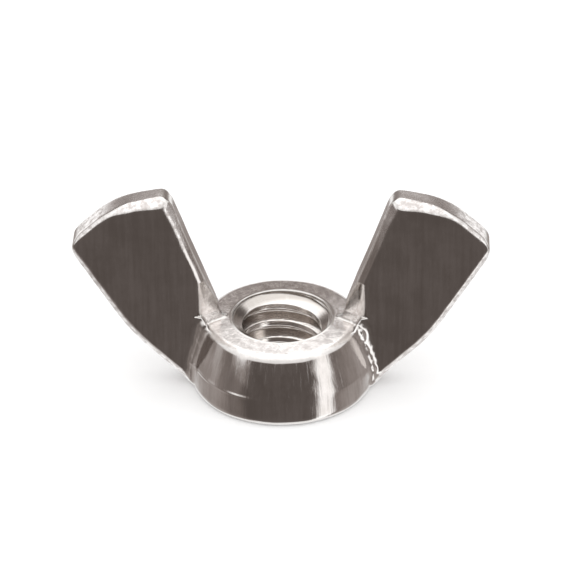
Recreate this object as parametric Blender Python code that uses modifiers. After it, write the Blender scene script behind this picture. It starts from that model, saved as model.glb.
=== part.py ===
"""A one-piece cold-forged wing nut, Type A, tapped 1/4-20 UNC.

Frame: metres, +Z up. The origin is the centre of the flat bearing face, on the
thread's axis. The wings lie along X and are flat on the XZ plane.
"""

import math

import bmesh
import bpy
from mathutils import Vector

MM = 0.001

# Driving dimensions: the forging
SPREAD = 26.4 * MM              # tip to tip, along X
HEIGHT = 13.6 * MM              # bearing face to the top of the wings
BOSS_HEIGHT = 4.65 * MM
BASE_RADIUS = 5.84 * MM         # the boss at its foot
SHOULDER_RADIUS = 5.0 * MM      # the boss just under its rounded top rim
SHOULDER_Z = 3.75 * MM
SHOULDER_ROUND = 4.0 * MM
RIM_RADIUS = 4.92 * MM          # where the top face and the side would meet without the rounding
RIM_ROUND = 0.85 * MM
BREAK_RADIUS = 5.7 * MM         # where the flare turns into the foot band
BREAK_Z = 1.75 * MM
BREAK_ROUND = 1.5 * MM
FOOT_ROUND = 0.45 * MM
WING_THICKNESS = 2.0 * MM
WING_CHAMFER = 0.40 * MM
TIP_ROUND = 0.5 * MM
TIP_TRIM = 0.16 * MM            # what rounding the tip takes off its sharp corner
TOP_TRIM = 0.05 * MM            # the same at the wing's inner top corner
WING_LIFT = 0.12 * MM           # how far the wings start above the bearing face
WEB_THICKNESS = 2.8 * MM        # the thicker root that joins a wing to the boss
WEB_CHAMFER = 0.40 * MM
ROOT_X = 3.6 * MM               # how deep a wing and its web reach into the boss

# Driving dimensions: the 1/4-20 UNC thread
PITCH = 1.27 * MM
MAJOR_RADIUS = 3.175 * MM
MINOR_RADIUS = 2.534 * MM
MOUTH_RADIUS = 3.2 * MM         # the 120 degree countersink at each face
COUNTERSINK_SLOPE = math.tan(math.radians(30))
ROOT_FLAT = PITCH / 8
FLANK_SLOPE = math.tan(math.radians(30))
THREAD_START = -0.75            # where the groove starts on +X, in pitches above the base
CUTTER_CLEARANCE = 0.15 * MM    # how far the groove cutter stands into the bore

# Fineness
LATHE_STEPS = 64
THREAD_STEPS_PER_TURN = 32
ARC_STEP = math.radians(15)     # the widest turn between two points of an arc
WELD = 1e-6
SHARP_ANGLE = math.radians(25)
FLAT_ANGLE = math.radians(0.1)  # faces closer than this are one flat face
EDGE_ANGLE = math.radians(60)   # a plate's edges bend at least this much, and its arcs less

STEEL_COLOUR = (0.62, 0.60, 0.58, 1.0)
STEEL_ROUGHNESS = 0.28


def remove_everything():
    for obj in list(bpy.data.objects):
        bpy.data.objects.remove(obj, do_unlink=True)


def new_collection(name):
    collection = bpy.data.collections.new(name)
    bpy.context.scene.collection.children.link(collection)
    return collection


def rounded(corners):
    """Points of a closed outline, with each (x, z, radius) corner turned into an arc."""
    points = []
    for i, (x, z, radius) in enumerate(corners):
        here = Vector((x, z))
        before = (Vector(corners[i - 1][:2]) - here).normalized()
        after = (Vector(corners[(i + 1) % len(corners)][:2]) - here).normalized()
        if radius == 0:
            points.append(here)
            continue
        half_corner = before.angle(after) / 2
        turn = math.pi - 2 * half_corner
        centre = here + (before + after).normalized() * radius / math.sin(half_corner)
        start = here + before * radius / math.tan(half_corner) - centre
        sign = 1 if before.cross(after) < 0 else -1
        steps = max(2, math.ceil(turn / ARC_STEP))
        for step in range(steps + 1):
            angle = sign * turn * step / steps
            cos, sin = math.cos(angle), math.sin(angle)
            points.append(centre + Vector((start.x * cos - start.y * sin, start.x * sin + start.y * cos)))
    return points


def plate(name, corners, thickness, chamfer, collection):
    """A flat plate on the XZ plane, cut to an outline, with its edges chamfered."""
    curve = bpy.data.curves.new(name + "_outline", "CURVE")
    curve.dimensions = "2D"
    curve.fill_mode = "BOTH"
    curve.extrude = thickness / 2
    points = rounded(corners)
    spline = curve.splines.new("POLY")
    spline.points.add(len(points) - 1)
    for target, (x, z) in zip(spline.points, points):
        target.co = (x, z, 0, 1)
    spline.use_cyclic_u = True
    outline = bpy.data.objects.new(name + "_outline", curve)
    outline.rotation_euler = (math.pi / 2, 0, 0)
    collection.objects.link(outline)
    bpy.context.view_layer.update()

    evaluated = outline.evaluated_get(bpy.context.evaluated_depsgraph_get())
    mesh = bpy.data.meshes.new_from_object(evaluated)
    mesh.name = name
    bm = bmesh.new()
    bm.from_mesh(mesh)
    bmesh.ops.remove_doubles(bm, verts=bm.verts, dist=WELD)
    bmesh.ops.dissolve_limit(bm, angle_limit=FLAT_ANGLE, verts=bm.verts, edges=bm.edges)
    bmesh.ops.transform(bm, matrix=outline.matrix_world, verts=bm.verts)
    bmesh.ops.recalc_face_normals(bm, faces=bm.faces)
    bm.to_mesh(mesh)
    bm.free()
    bpy.data.objects.remove(outline, do_unlink=True)

    obj = bpy.data.objects.new(name, mesh)
    collection.objects.link(obj)
    bevel = obj.modifiers.new("chamfer", "BEVEL")
    bevel.width = chamfer
    bevel.segments = 1
    bevel.limit_method = "ANGLE"
    bevel.angle_limit = EDGE_ANGLE
    mirror = obj.modifiers.new("other_side", "MIRROR")
    mirror.use_mirror_merge = False
    mirror.merge_threshold = WELD
    return obj


def wing_corners():
    """One wing: root, lower edge, tip, two-step top edge, inner edge."""
    tip_x = SPREAD / 2 + TIP_TRIM
    return [
        (ROOT_X, WING_LIFT, 0),
        (5.92 * MM, WING_LIFT, 0.4 * MM),
        (9.58 * MM, 3.73 * MM, 12.0 * MM),
        (tip_x, 10.20 * MM, TIP_ROUND),
        (10.58 * MM, 12.92 * MM, 3.5 * MM),
        (8.80 * MM, 13.42 * MM, 3.0 * MM),
        (7.30 * MM, HEIGHT + TOP_TRIM, 0.7 * MM),
        (5.75 * MM, 9.90 * MM, 20.0 * MM),
        (4.10 * MM, 4.70 * MM, 0),
        (ROOT_X, 4.20 * MM, 0),
    ]


def web_corners():
    """The thick root, from inside the boss out to just beyond its flare."""
    return [
        (ROOT_X, 0.60 * MM, 0),
        (5.75 * MM, 0.60 * MM, 0),
        (5.95 * MM, 1.30 * MM, 0),
        (5.60 * MM, 5.05 * MM, 0),
        (4.85 * MM, 5.05 * MM, 0),
        (4.25 * MM, 4.45 * MM, 0),
        (ROOT_X, 4.20 * MM, 0),
    ]


def boss_profile():
    """The ring of metal round the bore, as a closed (r, z) outline, down its outer side."""
    countersink = (MOUTH_RADIUS - MINOR_RADIUS) * COUNTERSINK_SLOPE
    corners = [
        (MOUTH_RADIUS, BOSS_HEIGHT, 0),
        (RIM_RADIUS, BOSS_HEIGHT, RIM_ROUND),
        (SHOULDER_RADIUS, SHOULDER_Z, SHOULDER_ROUND),
        (BREAK_RADIUS, BREAK_Z, BREAK_ROUND),
        (BASE_RADIUS, 0, FOOT_ROUND),
        (MOUTH_RADIUS, 0, 0),
        (MINOR_RADIUS, countersink, 0),
        (MINOR_RADIUS, BOSS_HEIGHT - countersink, 0),
    ]
    return rounded(corners)


def build_boss(collection):
    points = boss_profile()
    mesh = bpy.data.meshes.new("boss_profile")
    edges = [(i, (i + 1) % len(points)) for i in range(len(points))]
    mesh.from_pydata([(r, 0, z) for r, z in points], edges, [])
    boss = bpy.data.objects.new("wing_nut_body", mesh)
    collection.objects.link(boss)
    screw = boss.modifiers.new("turn", "SCREW")
    screw.axis = "Z"
    screw.angle = 2 * math.pi
    screw.steps = LATHE_STEPS
    screw.render_steps = LATHE_STEPS
    screw.use_merge_vertices = True
    screw.merge_threshold = WELD
    return boss


def build_thread_groove(collection):
    """The helical cutter that leaves the right-hand internal thread."""
    inner = MINOR_RADIUS - CUTTER_CLEARANCE
    root_half = ROOT_FLAT / 2
    inner_half = root_half + (MAJOR_RADIUS - inner) * FLANK_SLOPE
    start_z = THREAD_START * PITCH
    turns = math.ceil((BOSS_HEIGHT - 2 * start_z) / PITCH)

    bm = bmesh.new()
    section = [
        (inner, start_z - inner_half),
        (MAJOR_RADIUS, start_z - root_half),
        (MAJOR_RADIUS, start_z + root_half),
        (inner, start_z + inner_half),
    ]
    face = bm.faces.new([bm.verts.new((r, 0, z)) for r, z in section])
    steps = turns * THREAD_STEPS_PER_TURN
    bmesh.ops.spin(
        bm,
        geom=[face] + list(face.edges) + list(face.verts),
        cent=(0, 0, 0),
        axis=(0, 0, 1),
        dvec=(0, 0, PITCH / THREAD_STEPS_PER_TURN),
        angle=turns * 2 * math.pi,
        steps=steps,
        use_duplicate=False,
    )
    bmesh.ops.recalc_face_normals(bm, faces=bm.faces)
    mesh = bpy.data.meshes.new("thread_groove")
    bm.to_mesh(mesh)
    bm.free()
    groove = bpy.data.objects.new("thread_groove", mesh)
    collection.objects.link(groove)
    return groove


def boolean(target, tool, operation):
    modifier = target.modifiers.new(tool.name, "BOOLEAN")
    modifier.object = tool
    modifier.operation = operation
    modifier.solver = "EXACT"
    tool.hide_render = True
    tool.display_type = "WIRE"


def steel():
    material = bpy.data.materials.new("stainless_steel")
    material.use_nodes = True
    shader = material.node_tree.nodes["Principled BSDF"]
    shader.inputs["Base Color"].default_value = STEEL_COLOUR
    shader.inputs["Metallic"].default_value = 1.0
    shader.inputs["Roughness"].default_value = STEEL_ROUGHNESS
    return material


def main():
    remove_everything()
    parts = new_collection("wing_nut")
    tools = new_collection("wing_nut_tools")
    body = build_boss(parts)
    wings = plate("wings", wing_corners(), WING_THICKNESS, WING_CHAMFER, tools)
    webs = plate("webs", web_corners(), WEB_THICKNESS, WEB_CHAMFER, tools)
    groove = build_thread_groove(tools)
    boolean(body, wings, "UNION")
    boolean(body, webs, "UNION")
    boolean(body, groove, "DIFFERENCE")
    body.data.materials.append(steel())
    body.data.shade_smooth()
    body.data.set_sharp_from_angle(angle=SHARP_ANGLE)


main()
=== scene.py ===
"""The looks of a cold-forged wing nut: its finished surface, its steel, and a plain studio."""

import math

import bpy
import numpy as np
from mathutils import Matrix, Vector


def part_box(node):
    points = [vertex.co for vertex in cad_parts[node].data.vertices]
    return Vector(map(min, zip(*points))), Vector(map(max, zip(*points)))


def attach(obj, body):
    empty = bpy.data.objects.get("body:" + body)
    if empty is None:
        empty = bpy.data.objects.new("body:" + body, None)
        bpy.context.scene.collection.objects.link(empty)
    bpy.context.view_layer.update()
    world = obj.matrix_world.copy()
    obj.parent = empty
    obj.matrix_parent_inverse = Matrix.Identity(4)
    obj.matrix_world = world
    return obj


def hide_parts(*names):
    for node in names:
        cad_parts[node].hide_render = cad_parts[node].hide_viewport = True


NODE = "wing_nut_body"
MM = 0.001

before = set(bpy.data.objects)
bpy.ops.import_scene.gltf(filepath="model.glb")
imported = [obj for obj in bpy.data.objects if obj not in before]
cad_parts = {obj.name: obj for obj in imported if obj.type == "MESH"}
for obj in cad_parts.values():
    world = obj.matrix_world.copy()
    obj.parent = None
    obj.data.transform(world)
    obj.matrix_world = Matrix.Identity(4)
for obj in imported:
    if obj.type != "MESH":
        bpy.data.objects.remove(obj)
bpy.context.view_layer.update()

# ---------------------------------------------------------------- sizes, in millimetres
# A blend is how far apart two faces' distances still round into each other.

# The overall sizes come from the CAD box.
low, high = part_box(NODE)
HALF_SPREAD = high.x / MM
HEIGHT = high.z / MM

# The boss
BASE_RADIUS = 5.84
BOSS_HEIGHT = 4.66
RIM = (4.84, 4.55)              # (r, z) where the domed top would meet the flare
BREAK = (5.7, 1.75)             # where the flare turns into the foot band
BREAK_BLEND = 0.05
FLARE_MIDDLE, FLARE_HALF = 3.1, 1.4
FLARE_BOW = 0.03                # how far the flare bulges between the rim and the foot band
RIM_BLEND = 0.42
FOOT_BLEND = 0.5
SEAM_HEIGHT, SEAM_WIDTH = 0.024, 0.09   # the die line just above the break, strongest on -X

# The wings, with x counted outward; a pair holds a front and a back size
WING_HALF = 1.0                 # half the wing's thickness
WING_LIFT = 0.12                # how far the wings start above the bearing face
EDGE_BLEND = 0.12
LOWER_BEVEL = (0.40, 0.34)      # along the face, and down the edge
TOP_BEVEL = (0.42, 0.28)
INNER_BEVEL = (0.46, 0.40)
INNER_DEPTH = 0.42
INNER_BLEND = 0.22
TIP_NARROWING = 0.20            # how much less the front's top bevel is out at the tip
CORNER_WIDENING = 0.12          # how much wider the bevels are at the inner top corner
ROOT_WIDENING, ROOT_DEEPENING = 1.0, 0.45   # what the inner bevel gains down at the root
ROOT_TOP, ROOT_LENGTH = 7.6, 2.4

# The roots, where a wing meets the boss
ROOT_BLEND, ROOT_BLEND_GAIN = 0.8, 0.3      # fillet between a wing's face and the flare
TOP_BLEND = 0.16                # fillet between a wing's inner edge and the boss's top
ROOT_INSET = 0.01               # keeps the root's plate just under the wing's faces
LEDGE_Z = 5.12                  # the trimmed top of the root
TRIM_Z, TRIM_RADIUS, TRIM_SLOPE = 4.50, 4.75, 1.5   # the root's slanted end over the rim
ROOT_LIFT = 0.04
BEAD_HEIGHT, BEAD_REACH = 0.05, 0.9         # the flash left in the corner
BEAD_COARSE, BEAD_FINE = 0.035, 0.012       # its roughness; half as much on -X

# The bore
PITCH = 1.27
MAJOR_RADIUS = 3.175
MINOR_RADIUS = 2.534
THREAD_START = -0.75            # pitches
FLANK = math.radians(30)
ROOT_BLEND_THREAD, CREST_BLEND = 0.06, 0.05
MOUTH_RADIUS = 3.15
COUNTERSINK_SLOPE = math.tan(math.radians(30))
LIP_DEPTH = 0.18                # the short straight wall between the lip and the countersink
LIP_HEIGHT = 0.02               # the burr the countersink leaves round the mouth
LIP_OFFSET, LIP_WIDTH = 0.07, 0.08

# The unevenness of the whole surface
RIPPLE, SWELL = 0.004, 0.010

# Meshing
VOXEL = 0.055
FACES = 190_000
SLOPE_STEP = 0.004
LONGEST_MOVE = 0.15
MARK_REACH = 0.12               # how far from the surface wear and beads are looked for

# ---------------------------------------------------------------- looks

STEEL_DARK = (0.56, 0.525, 0.50, 1.0)
STEEL_LIGHT = (0.70, 0.665, 0.645, 1.0)
RING_DARK = (0.64, 0.60, 0.58, 1.0)
RING_LIGHT = (0.86, 0.83, 0.81, 1.0)
CAST_DARK = (0.56, 0.52, 0.50, 1.0)
CAST_LIGHT = (0.86, 0.83, 0.815, 1.0)
# The countersink gets a darker colour: painted shade in the recess of the bore's mouth.
COUNTERSINK_PAINTED_SHADE = (0.50, 0.465, 0.435, 1.0)
THREAD_TINT = (0.76, 0.715, 0.68, 1.0)
# Darker colour for the creases near the boss's top: painted shade.
CREASE_PAINTED_SHADE = (0.40, 0.37, 0.345, 1.0)
RUBBED = (0.82, 0.80, 0.78, 1.0)
BUMP_HEIGHT = 0.010 * MM

# Studio brightness
DARK_FRONT = 0.14
GREY_SIDE = 0.38
CEILING = 1.1
WINDOW = 1.5
OVERHEAD = 1.65
FLOOR_GLOW = 0.14
DIM_LIGHT = (1.0, 0.86, 0.80, 1.0)          # dim parts of the studio are a little warm
WHITE = (1.0, 1.0, 1.0, 1.0)

# The wall behind: (elevation, brightness), from the floor up
BACK_WALL = [
    (-90, 1.2), (-45, 1.1), (-33, 0.9),                 # the floor
    (-26, 0.38), (-17, 0.38),                           # a grey band
    (-8, 1.2), (4, 1.3),                                # a bright band at the horizon
    (9, 0.45), (16, 0.32), (26, 0.32), (33.5, 0.46),    # the grey wall
    (38, 1.5), (40, OVERHEAD), (90, OVERHEAD),          # the bright ceiling
]


# ---------------------------------------------------------------- distance tools


def smooth_max(a, b, blend):
    near = np.maximum(blend - np.abs(a - b), 0) / blend
    return np.maximum(a, b) + near * near * blend / 4


def smooth_min(a, b, blend):
    return -smooth_max(-a, -b, blend)


def beyond(u, v, start, end):
    """How far (u, v) lies to the right of the line from start to end; metal is on its left."""
    du, dv = end[0] - start[0], end[1] - start[1]
    length = math.hypot(du, dv)
    return ((u - start[0]) * dv - (v - start[1]) * du) / length


def chamfered(solid, edge, face, along, deep, blend):
    """Cut the corner of an edge and a face: along is the cut's width on the face, deep on the edge."""
    cut = (edge / along + face / deep + 1) / np.sqrt(1 / along**2 + 1 / deep**2)
    return smooth_max(solid, cut, blend)


def ramp(value, start, end):
    t = np.clip((value - start) / (end - start), 0, 1)
    return t * t * (3 - 2 * t)


def bell(value, centre, width):
    return np.exp(-(((value - centre) / width) ** 2))


def lumps(points, wavelength, seed, waves=9):
    """A smooth bumpy field between about -1 and 1."""
    rng = np.random.default_rng(seed)
    total = np.zeros(len(points))
    for _ in range(waves):
        direction = rng.normal(size=3)
        direction *= 2 * math.pi / wavelength * rng.uniform(0.7, 1.5) / np.linalg.norm(direction)
        total += np.sin(points @ direction + rng.uniform(0, 2 * math.pi))
    return total / math.sqrt(waves)


# ---------------------------------------------------------------- the forging


def wing_outline(x, z):
    """Distance to one wing's outline on its flat plane, and to its lower, top and inner edges."""
    foot, knee = (5.92, WING_LIFT), (9.58, 3.73)
    tip = (HALF_SPREAD + 0.30, 10.20)
    kink, crown = (10.58, 12.92), (8.80, HEIGHT - 0.18)
    corner, waist, heel = (7.30, HEIGHT + 0.05), (5.75, 9.90), (4.10, 4.70)
    knee_blend, crown_blend, kink_blend, waist_blend = 0.35, 0.2, 0.7, 0.4
    tip_blend, corner_blend = 1.3, 0.85
    lower = smooth_max(beyond(x, z, foot, knee), beyond(x, z, knee, tip), knee_blend)
    top = smooth_max(beyond(x, z, kink, crown), beyond(x, z, crown, corner), crown_blend)
    top = smooth_max(top, beyond(x, z, tip, kink), kink_blend)
    inner = smooth_min(beyond(x, z, corner, waist), beyond(x, z, waist, heel), waist_blend)
    outline = smooth_max(smooth_max(lower, top, tip_blend), WING_LIFT - z, FOOT_BLEND)
    return smooth_max(outline, inner, corner_blend), lower, top, inner


def wing(x, y, z):
    """One wing, with x counted outward, and the flat plate it starts from."""
    outline, lower, top, inner = wing_outline(x, z)
    face = np.abs(y) - WING_HALF
    front = y < 0
    at_tip = ramp(x, 9.3, 10.9)
    at_root = np.clip((ROOT_TOP - z) / ROOT_LENGTH, 0, 1)
    at_corner = ramp(z, 11.6, 13.0) * (1 - ramp(x, 7.4, 9.0))
    top_cut = np.where(front, *TOP_BEVEL) - TIP_NARROWING * at_tip * front
    top_cut = top_cut + CORNER_WIDENING * at_corner * front
    inner_cut = np.where(front, *INNER_BEVEL) + CORNER_WIDENING * at_corner
    inner_cut = inner_cut + ROOT_WIDENING * at_root
    inner_deep = INNER_DEPTH + CORNER_WIDENING * at_corner + ROOT_DEEPENING * at_root
    plate = chamfered(face, lower, face, *LOWER_BEVEL, EDGE_BLEND)
    solid = chamfered(plate, top, face, top_cut, top_cut, EDGE_BLEND)
    solid = chamfered(solid, inner, face, inner_cut, inner_deep, INNER_BLEND)
    return smooth_max(solid, outline, EDGE_BLEND), smooth_max(plate, outline, EDGE_BLEND)


def boss(r, z):
    """The round boss without its bore."""
    flare = beyond(-r, z, (-RIM[0], RIM[1]), (-BREAK[0], BREAK[1]))
    band = beyond(-r, z, (-BREAK[0], BREAK[1]), (-BASE_RADIUS, 0))
    side = smooth_max(flare, band, BREAK_BLEND)
    dome = beyond(r, z, RIM, (MOUTH_RADIUS, BOSS_HEIGHT))
    solid = smooth_max(side, np.maximum(dome, z - BOSS_HEIGHT), RIM_BLEND)
    return smooth_max(solid, -z, FOOT_BLEND)


def bore(r, angle, z):
    """The hole: below 0 in the metal round it."""
    turn = (z / PITCH - angle / (2 * math.pi) - THREAD_START) % 1.0
    u = np.abs((turn + 0.5) % 1.0 - 0.5) * PITCH
    open_flank = (u - PITCH / 16 - (MAJOR_RADIUS - r) * math.tan(FLANK)) * math.cos(FLANK)
    groove = smooth_max(r - MAJOR_RADIUS, open_flank, ROOT_BLEND_THREAD)
    hole = smooth_min(groove, r - MINOR_RADIUS, CREST_BLEND)
    slope = math.hypot(1, COUNTERSINK_SLOPE)
    mouth_blend, throat_blend = 0.05, 0.04
    for depth in (BOSS_HEIGHT - z, z):
        cone = (depth - LIP_DEPTH + (r - MOUTH_RADIUS) * COUNTERSINK_SLOPE) / slope
        hole = smooth_min(hole, smooth_max(cone, r - MOUTH_RADIUS, mouth_blend), throat_blend)
    return -hole


def wing_root(points, r, plate, body):
    """The fillet between a wing's plate and the boss, with the rough flash bead in its corner."""
    x, _, z = points.T
    near = np.clip(1 - np.abs(plate - body) / BEAD_REACH, 0, 1) ** 2 * ramp(np.abs(x), 3.4, 4.0)
    rough = BEAD_COARSE * lumps(points, 1.3, 11) + BEAD_FINE * lumps(points, 0.5, 12)
    rough = rough * np.where(x < 0, 0.5, 1.0)
    fillet = ROOT_BLEND + ROOT_BLEND_GAIN * ramp(z, 2.5, 4.5)
    root = smooth_min(plate, body, fillet) - near * (BEAD_HEIGHT + rough)
    slant = (z - TRIM_Z - TRIM_SLOPE * (r - TRIM_RADIUS)) / math.hypot(1, TRIM_SLOPE)
    root = smooth_max(root, np.maximum(z - LEDGE_Z, slant), 0.05)
    return smooth_max(root, ROOT_LIFT - z, FOOT_BLEND)


def relief(points, r):
    """What stands proud of the plain shape: the lip, the flare's bow and the die line."""
    x, _, z = points.T
    lip = LIP_HEIGHT * bell(r, MOUTH_RADIUS + LIP_OFFSET, LIP_WIDTH) * ramp(z, 4.2, 4.4)
    on_boss = ramp(r, 4.0, 4.6) * (1 - ramp(r, 5.8, 6.2))
    bow = np.maximum(1 - ((z - FLARE_MIDDLE) / FLARE_HALF) ** 2, 0) ** 1.5
    seam = bell(z, BREAK[1] + 0.05, SEAM_WIDTH) * (0.2 + 0.8 * ramp(-x, 0.5, 2.0))
    return lip + (FLARE_BOW * bow + SEAM_HEIGHT * seam) * on_boss


def forging(points):
    """Distance to the finished surface: below 0 in the metal."""
    x, y, z = points.T
    r = np.hypot(x, y)
    body = boss(r, z)
    blade, plate = wing(np.abs(x), y, z)
    whole = smooth_min(body, blade, TOP_BLEND)
    whole = np.minimum(whole, wing_root(points, r, plate + ROOT_INSET, body))
    whole = whole - relief(points, r)
    whole = whole + RIPPLE * lumps(points, 1.5, 21) + SWELL * lumps(points, 6.0, 22)
    mouth_edge = 0.02 + 0.08 * ramp(z, 4.2, 4.4)
    return smooth_max(whole, bore(r, np.arctan2(y, x), z), mouth_edge)


# ---------------------------------------------------------------- meshing


def slopes(points):
    corners = np.array([(1, -1, -1), (-1, -1, 1), (-1, 1, -1), (1, 1, 1)], float)
    return sum(c * forging(points + c * SLOPE_STEP)[:, None] for c in corners) / (4 * SLOPE_STEP)


def unit_slopes(points):
    normals = slopes(points)
    return normals / np.linalg.norm(normals, axis=1)[:, None]


def settle(points, rounds):
    """Move points onto the finished surface."""
    for _ in range(rounds):
        slope = slopes(points)
        size = np.maximum((slope**2).sum(1), 0.25)
        move = np.clip(forging(points) / size, -LONGEST_MOVE, LONGEST_MOVE)
        points = points - slope * move[:, None]
    return points


def relax(points, edges):
    """Move each point halfway to the middle of its neighbours."""
    total = np.zeros_like(points)
    count = np.bincount(edges.ravel(), minlength=len(points))[:, None]
    for axis in range(3):
        total[:, axis] += np.bincount(edges[:, 0], points[edges[:, 1], axis], len(points))
        total[:, axis] += np.bincount(edges[:, 1], points[edges[:, 0], axis], len(points))
    return points + 0.5 * (total / count - points)


def read_points(mesh):
    co = np.empty(len(mesh.vertices) * 3)
    mesh.vertices.foreach_get("co", co)
    return co.reshape(-1, 3)


def write_points(mesh, points):
    mesh.vertices.foreach_set("co", points.ravel())
    mesh.update()


def applied(obj):
    """The object's mesh with its modifiers applied; the object is removed."""
    evaluated = obj.evaluated_get(bpy.context.evaluated_depsgraph_get())
    mesh = bpy.data.meshes.new_from_object(evaluated)
    bpy.data.objects.remove(obj, do_unlink=True)
    return mesh


def linked(name, mesh):
    obj = bpy.data.objects.new(name, mesh)
    bpy.context.scene.collection.objects.link(obj)
    return obj


def finished_surface():
    """The CAD solid, remeshed finely, drawn onto the finished surface and thinned where it is flat."""
    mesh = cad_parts[NODE].data.copy()
    mesh.transform(Matrix.Scale(1 / MM, 4))
    obj = linked("surface", mesh)
    weld = obj.modifiers.new("weld", "WELD")
    weld.merge_threshold = 1e-5
    remesh = obj.modifiers.new("remesh", "REMESH")
    remesh.mode = "VOXEL"
    remesh.voxel_size = VOXEL
    mesh = applied(obj)

    edges = np.empty(len(mesh.edges) * 2, np.int64)
    mesh.edges.foreach_get("vertices", edges)
    edges = edges.reshape(-1, 2)
    points = settle(read_points(mesh), 4)
    for _ in range(2):
        points = settle(relax(points, edges), 2)
    write_points(mesh, points)

    obj = linked("surface", mesh)
    thin = obj.modifiers.new("thin", "DECIMATE")
    thin.ratio = min(1.0, FACES / (2 * len(mesh.polygons)))
    return applied(obj)


def surface_marks(points):
    """How worn (on outer edges) and how beaded (in the forged corners) each point is, 0 to 1; the bead
    mark also places painted shade in the creases.
    """
    normals = unit_slopes(points)
    outside = forging(points + normals * MARK_REACH) - MARK_REACH
    inside = forging(points - normals * MARK_REACH) + MARK_REACH
    side = slopes(points - normals * MARK_REACH)
    inside_bend = 1 - np.linalg.norm(side, axis=1).clip(0, 1)
    return {
        "worn": ramp(inside + inside_bend * MARK_REACH, 0.01, 0.05),
        "bead": ramp(-outside, 0.004, 0.03),
    }


def build_nut():
    mesh = finished_surface()
    points = settle(read_points(mesh), 1)
    write_points(mesh, points)
    mesh.transform(Matrix.Scale(MM, 4))
    mesh.shade_smooth()
    mesh.normals_split_custom_set_from_vertices(unit_slopes(points))
    for name, values in surface_marks(points).items():
        attribute = mesh.attributes.new(name, "FLOAT", "POINT")
        attribute.data.foreach_set("value", values.astype(np.float32))
    mesh.name = "forged_wing_nut"
    return linked("forged_wing_nut", mesh)


# ---------------------------------------------------------------- node helpers


class Nodes:
    """A short way to write a node tree: each call adds one node and returns its output."""

    def __init__(self, tree):
        self.tree = tree
        tree.nodes.clear()

    def add(self, kind, inputs=(), output=0, **settings):
        node = self.tree.nodes.new(kind)
        for name, value in settings.items():
            setattr(node, name, value)
        for name, value in dict(inputs).items():
            if isinstance(value, bpy.types.NodeSocket):
                self.tree.links.new(value, node.inputs[name])
            else:
                node.inputs[name].default_value = value
        return node.outputs[output] if node.outputs else None

    def split(self, vector):
        node = self.tree.nodes.new("ShaderNodeSeparateXYZ")
        self.tree.links.new(vector, node.inputs[0])
        return node.outputs

    def math(self, operation, a, b=0.0):
        return self.add("ShaderNodeMath", {0: a, 1: b}, operation=operation)

    def times(self, a, b):
        return self.math("MULTIPLY", a, b)

    def vector(self, operation, vector, other):
        return self.add("ShaderNodeVectorMath", {0: vector, **other}, operation=operation)

    def ramp(self, value, start, end):
        return self.add(
            "ShaderNodeMapRange",
            {"Value": value, "From Min": start, "From Max": end},
            interpolation_type="SMOOTHSTEP",
        )

    def mix(self, share, a, b):
        return self.math("ADD", self.times(share, self.math("SUBTRACT", b, a)), a)

    def mix_colour(self, share, a, b):
        return self.add("ShaderNodeMix", {0: share, 6: a, 7: b}, output=2, data_type="RGBA")

    def profile(self, value, stops, top):
        """A brightness curve through (value, brightness) stops; top is the largest brightness."""
        first, last = stops[0][0], stops[-1][0]
        share = self.math("DIVIDE", self.math("SUBTRACT", value, first), last - first)
        node = self.tree.nodes.new("ShaderNodeValToRGB")
        self.tree.links.new(share, node.inputs[0])
        elements = node.color_ramp.elements
        for at, bright in stops:
            place = (at - first) / (last - first)
            ends = {0.0: elements[0], 1.0: elements[-1]}
            element = ends.get(place) or elements.new(place)
            element.color = (bright / top,) * 3 + (1.0,)
        return self.times(node.outputs[0], top)


# ---------------------------------------------------------------- steel


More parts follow.
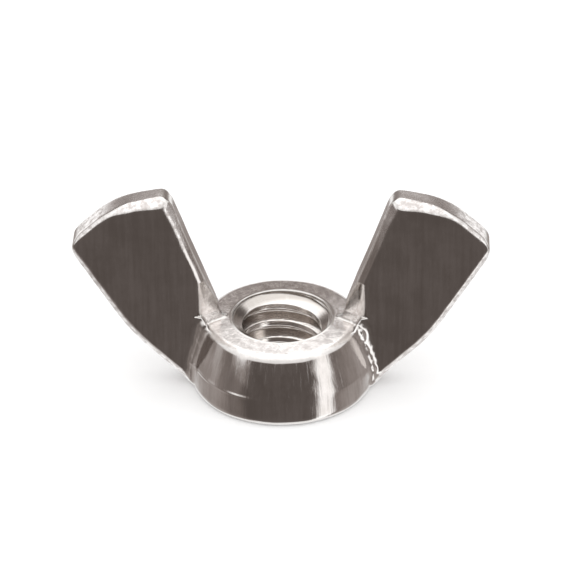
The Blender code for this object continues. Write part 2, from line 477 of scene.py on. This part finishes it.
def steel_material():
    """Drawn flare, satin wing faces, mottled wing edges, turned ring and bore, in one steel."""
    material = bpy.data.materials.new("stainless_steel")
    material.use_nodes = True
    n = Nodes(material.node_tree)
    place = n.add("ShaderNodeTexCoord", output="Object")
    mm = n.vector("SCALE", place, {"Scale": 1 / MM})
    x, y, z = n.split(mm)
    r = n.math("SQRT", n.math("ADD", n.times(x, x), n.times(y, y)))

    def noise(scale, stretch=(1, 1, 1), detail=3.0, rough=0.5):
        return n.add(
            "ShaderNodeTexNoise",
            {
                "Vector": n.vector("MULTIPLY", mm, {1: stretch}),
                "Scale": scale,
                "Detail": detail,
                "Roughness": rough,
            },
        )

    # Where each finish is
    on_ring = n.times(n.ramp(z, 4.25, 4.45), n.ramp(r, 5.1, 4.8))
    in_bore = n.ramp(r, 3.42, 3.3)
    in_thread = n.ramp(z, 4.25, 4.05)
    on_wing = n.ramp(r, 5.9, 6.4)
    facing_y = n.split(n.add("ShaderNodeNewGeometry", output="Normal"))[1]
    on_edge = n.times(on_wing, n.ramp(n.math("ABSOLUTE", facing_y), 0.97, 0.85))
    worn = n.add("ShaderNodeAttribute", output="Fac", attribute_name="worn")
    bead = n.add("ShaderNodeAttribute", output="Fac", attribute_name="bead")
    # Painted shade: the creases found by the bead mark, near the boss's top.
    painted_crease_shade = n.times(bead, n.ramp(z, 4.3, 4.6))

    # Patterns: upright draw marks follow the boss round, and run straight up the wings
    cloud = noise(0.35, detail=4.0, rough=0.6)
    grain = noise(9.0, detail=4.0, rough=0.7)
    mottle = noise(2.2, detail=4.0, rough=0.7)
    draw = noise(3.2, (1.0, 1.0, 0.07), detail=5.0, rough=0.65)
    wing_draw = noise(11.0, (1.0, 1.0, 0.05), detail=3.0, rough=0.6)
    around = n.vector("NORMALIZE", n.vector("MULTIPLY", mm, {1: (1.0, 1.0, 0.0)}), {})
    boss_draw = n.add(
        "ShaderNodeTexNoise",
        {"Vector": around, "W": n.times(z, 0.012), "Scale": 45.0, "Detail": 2.0},
        noise_dimensions="4D",
    )
    fine_draw = n.mix(on_wing, boss_draw, wing_draw)
    turning = noise(5.0, (0.15, 0.15, 3.0), detail=2.0)

    # Colour
    tone = n.math("ADD", n.times(cloud, 0.6), n.times(draw, 0.4))
    patches = n.ramp(mottle, 0.38, 0.60)
    colour = n.mix_colour(n.ramp(tone, 0.35, 0.65), STEEL_DARK, STEEL_LIGHT)
    ring = n.mix_colour(n.ramp(mottle, 0.35, 0.65), RING_DARK, RING_LIGHT)
    colour = n.mix_colour(on_ring, colour, ring)
    # Painted shade: the countersink in the bore's mouth is darker; the thread below keeps a lighter
    # colour.
    colour = n.mix_colour(in_bore, colour, n.mix_colour(in_thread, COUNTERSINK_PAINTED_SHADE, THREAD_TINT))
    colour = n.mix_colour(on_edge, colour, n.mix_colour(patches, CAST_DARK, CAST_LIGHT))
    # Darken those creases: painted shade.
    colour = n.mix_colour(n.times(painted_crease_shade, 0.8), colour, CREASE_PAINTED_SHADE)
    colour = n.mix_colour(n.times(worn, 0.6), colour, RUBBED)

    # Roughness
    drawn = n.ramp(draw, 0.3, 0.7)
    rough = n.mix(drawn, 0.07, 0.13)
    rough = n.mix(n.ramp(fine_draw, 0.54, 0.70), rough, 0.26)
    rough = n.mix(on_wing, rough, n.mix(drawn, 0.13, 0.20))
    rough = n.mix(on_ring, rough, n.mix(n.ramp(grain, 0.35, 0.65), 0.10, 0.20))
    rough = n.mix(on_edge, rough, n.mix(patches, 0.34, 0.20))
    rough = n.mix(in_bore, rough, 0.18)
    rough = n.mix(n.times(bead, 0.7), rough, 0.26)
    rough = n.mix(n.times(worn, 0.5), rough, 0.10)

    # Bump
    lines = n.math("ADD", n.times(draw, 0.7), n.times(fine_draw, 0.3))
    height = n.mix(in_bore, n.mix(on_ring, lines, grain), turning)
    bump = n.add("ShaderNodeBump", {"Strength": 1.0, "Distance": BUMP_HEIGHT, "Height": height})
    shader = n.add(
        "ShaderNodeBsdfPrincipled",
        {"Base Color": colour, "Metallic": 1.0, "Roughness": rough, "Normal": bump},
    )
    n.add("ShaderNodeOutputMaterial", {"Surface": shader})
    return material


# ---------------------------------------------------------------- studio


def build_floor():
    bpy.ops.mesh.primitive_plane_add(size=1.6)
    floor = bpy.context.object
    floor.name = "studio_floor"
    material = bpy.data.materials.new("pale_floor")
    material.use_nodes = True
    shader = material.node_tree.nodes["Principled BSDF"]
    shader.inputs["Base Color"].default_value = (0.86, 0.86, 0.86, 1.0)
    shader.inputs["Roughness"].default_value = 0.9
    shader.inputs["Specular IOR Level"].default_value = 0.0
    shader.inputs["Emission Color"].default_value = WHITE
    shader.inputs["Emission Strength"].default_value = FLOOR_GLOW
    floor.data.materials.append(material)
    floor.visible_glossy = False


def build_world():
    """A soft white studio: bright above, dark in front, grey at the sides, with a tall window.

    Angles are in degrees. Azimuth 0 is straight in front, and it grows towards +X. The camera
    itself sees plain white.
    """
    world = bpy.data.worlds.new("studio")
    bpy.context.scene.world = world
    world.use_nodes = True
    n = Nodes(world.node_tree)
    x, y, z = n.split(n.add("ShaderNodeTexCoord", output="Generated"))
    elevation = n.math("DEGREES", n.math("ARCSINE", z))
    azimuth = n.math("DEGREES", n.math("ARCTAN2", x, n.times(y, -1.0)))
    aside = n.math("ABSOLUTE", azimuth)

    def panel(centre, half_width, soft, lowest, highest):
        """A soft-edged upright panel, 0 to 1."""
        off = n.math("ABSOLUTE", n.math("SUBTRACT", azimuth, centre))
        across = n.ramp(off, half_width + soft, half_width - soft)
        above = n.ramp(elevation, lowest - 6, lowest + 6)
        below = n.ramp(elevation, highest + 6, highest - 6)
        return n.times(across, n.times(above, below))

    walls = n.mix(n.ramp(aside, 45, 115), DARK_FRONT, GREY_SIDE)
    ceiling = n.ramp(elevation, 9, 19)
    floor_sides = n.times(n.ramp(elevation, -14, -26), n.ramp(aside, 62, 100))
    floor_near = n.ramp(elevation, -44, -60)
    front = n.mix(floor_sides, walls, 0.45)
    front = n.mix(n.math("MAXIMUM", ceiling, floor_near), front, CEILING)
    front = n.mix(panel(57, 11, 5, -60, 70), front, WINDOW)
    front = n.mix(panel(-94, 6, 4, -12, 20), front, 0.6)
    front = n.mix(panel(-56, 9, 8, 0, 70), front, 1.3)
    front = n.mix(panel(-57, 8, 6, -60, 0), front, 0.24)
    front = n.mix(n.ramp(elevation, 35, 70), front, OVERHEAD)

    back = n.profile(elevation, BACK_WALL, OVERHEAD)
    off_corner = n.math("ABSOLUTE", n.math("SUBTRACT", aside, 136))
    corners = n.times(n.ramp(off_corner, 26, 18), n.ramp(elevation, 22, 28))
    corners = n.times(corners, n.ramp(elevation, 46, 40))
    back = n.mix(corners, back, DARK_FRONT)
    level = n.mix(n.ramp(aside, 105, 135), front, back)

    colour = n.mix_colour(n.ramp(level, 0.12, 0.9), DIM_LIGHT, WHITE)
    seen = n.add("ShaderNodeLightPath", output="Is Camera Ray")
    background = n.add(
        "ShaderNodeBackground",
        {"Color": n.mix_colour(seen, colour, WHITE), "Strength": n.mix(seen, level, 1.0)},
    )
    n.add("ShaderNodeOutputWorld", {"Surface": background})


def build_camera():
    """A long lens, in front and well above, turned a little."""
    azimuth, elevation, roll = math.radians(2.17), math.radians(32.65), math.radians(-0.71)
    distance = 236.6 * MM
    aim = Vector((0.41 * MM, 0, 6.74 * MM))
    place = distance * Vector(
        (
            math.sin(azimuth) * math.cos(elevation),
            -math.cos(azimuth) * math.cos(elevation),
            math.sin(elevation),
        )
    )
    data = bpy.data.cameras.new("camera")
    data.sensor_width = 36.0
    data.lens = 229.75
    data.clip_start = 1 * MM
    data.clip_end = 10.0
    camera = bpy.data.objects.new("camera", data)
    bpy.context.scene.collection.objects.link(camera)
    turn = (place - aim).to_track_quat("Z", "Y").to_matrix() @ Matrix.Rotation(roll, 3, "Z")
    camera.matrix_world = Matrix.Translation(place) @ turn.to_4x4()
    bpy.context.scene.camera = camera


# ---------------------------------------------------------------- main

nut = build_nut()
nut.data.materials.clear()
nut.data.materials.append(steel_material())
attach(nut, "root")
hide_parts(NODE)

build_floor()
build_world()
build_camera()
bpy.context.scene.view_settings.view_transform = "Standard"
